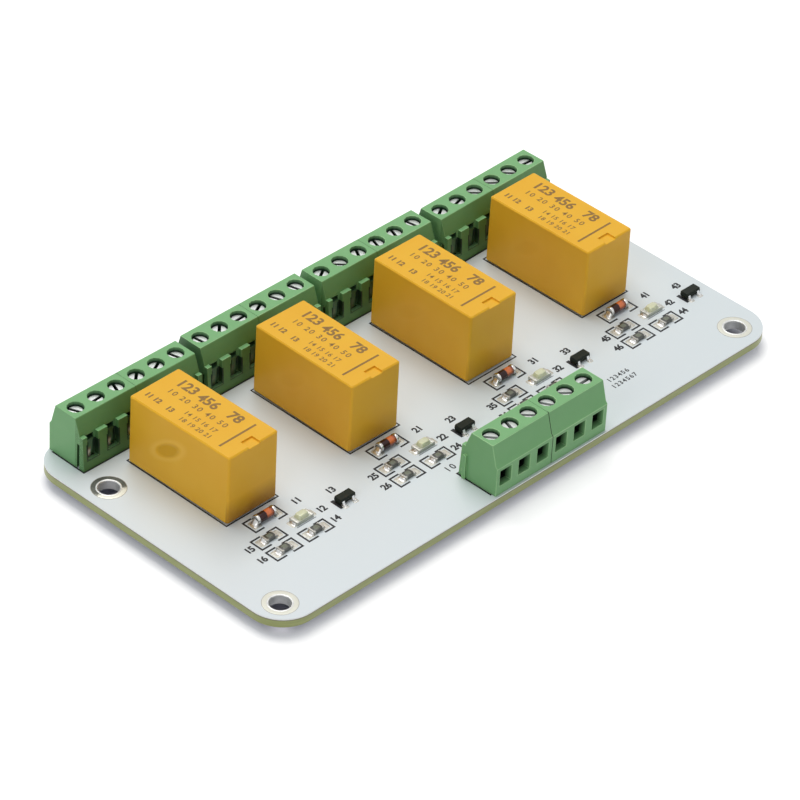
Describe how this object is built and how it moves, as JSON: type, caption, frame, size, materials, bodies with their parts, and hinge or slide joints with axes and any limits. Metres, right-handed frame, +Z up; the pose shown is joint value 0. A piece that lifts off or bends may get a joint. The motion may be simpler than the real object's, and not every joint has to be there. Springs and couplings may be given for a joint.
{
  "type": "relay module board",
  "caption": "Circuit board that carries sealed relays between a long edge of screw terminals for the outputs and a short row of screw terminals for the inputs.",
  "frame": {"origin": "centre of the board's outline, at the height of the terminal pin tips that it stands on", "axes": "+X along the board's long edge, +Y towards the row of output terminals, +Z up from the board's component side"},
  "size_m": [0.1024, 0.0506, 0.0148],
  "materials": {
    "solder_mask_board": "satin white solder mask over glass-fibre laminate, khaki at the sawn edge",
    "green_housing": "moulded green terminal plastic, satin",
    "plated_screw": "bright nickel-plated steel with a cut slot",
    "plated_clamp": "folded plated steel",
    "tinned_contact": "tin-plated brass strip",
    "relay_cover": "yellow moulded relay cover, satin with fine marks",
    "relay_base": "dark moulded base with sealing resin",
    "relay_winding": "lacquered copper wire on a bobbin",
    "diode_glass": "amber glass tube with a dark polarity band",
    "led_carrier": "white moulded light carrier",
    "led_lens": "clear pale yellow resin",
    "moulded_black": "black moulding compound",
    "resistor_ceramic": "ceramic chip with a black glaze on top",
    "tinned_ends": "tinned metal ends and leads"
  },
  "bodies": {
    "root": {"circuit_board": "solder_mask_board", "output_1_left_housing": "green_housing", "output_1_right_housing": "green_housing", "output_1_screws": "plated_screw", "output_1_clamps": "plated_clamp", "output_1_contacts": "tinned_contact", "output_2_left_housing": "green_housing", "output_2_right_housing": "green_housing", "output_2_screws": "plated_screw", "output_2_clamps": "plated_clamp", "output_2_contacts": "tinned_contact", "output_3_left_housing": "green_housing", "output_3_right_housing": "green_housing", "output_3_screws": "plated_screw", "output_3_clamps": "plated_clamp", "output_3_contacts": "tinned_contact", "output_4_left_housing": "green_housing", "output_4_right_housing": "green_housing", "output_4_screws": "plated_screw", "output_4_clamps": "plated_clamp", "output_4_contacts": "tinned_contact", "input_left_housing": "green_housing", "input_right_housing": "green_housing", "input_screws": "plated_screw", "input_clamps": "plated_clamp", "input_contacts": "tinned_contact", "relay_1_cover": "relay_cover", "relay_1_base": "relay_base", "relay_1_pins": "tinned_contact", "relay_2_cover": "relay_cover", "relay_2_base": "relay_base", "relay_2_pins": "tinned_contact", "relay_3_cover": "relay_cover", "relay_3_base": "relay_base", "relay_3_pins": "tinned_contact", "relay_4_cover": "relay_cover", "relay_4_base": "relay_base", "relay_4_pins": "tinned_contact", "relay_coils": "relay_winding", "diode_1": "diode_glass", "led_1": "led_carrier", "transistor_1": "moulded_black", "channel_1_resistors": "resistor_ceramic", "diode_2": "diode_glass", "led_2": "led_carrier", "transistor_2": "moulded_black", "channel_2_resistors": "resistor_ceramic", "diode_3": "diode_glass", "led_3": "led_carrier", "transistor_3": "moulded_black", "channel_3_resistors": "resistor_ceramic", "diode_4": "diode_glass", "led_4": "led_carrier", "transistor_4": "moulded_black", "channel_4_resistors": "resistor_ceramic", "diode_end_caps": "tinned_ends", "led_lenses": "led_lens", "transistor_leads": "tinned_ends", "resistor_end_caps": "tinned_ends"}
  },
  "joints": []
}
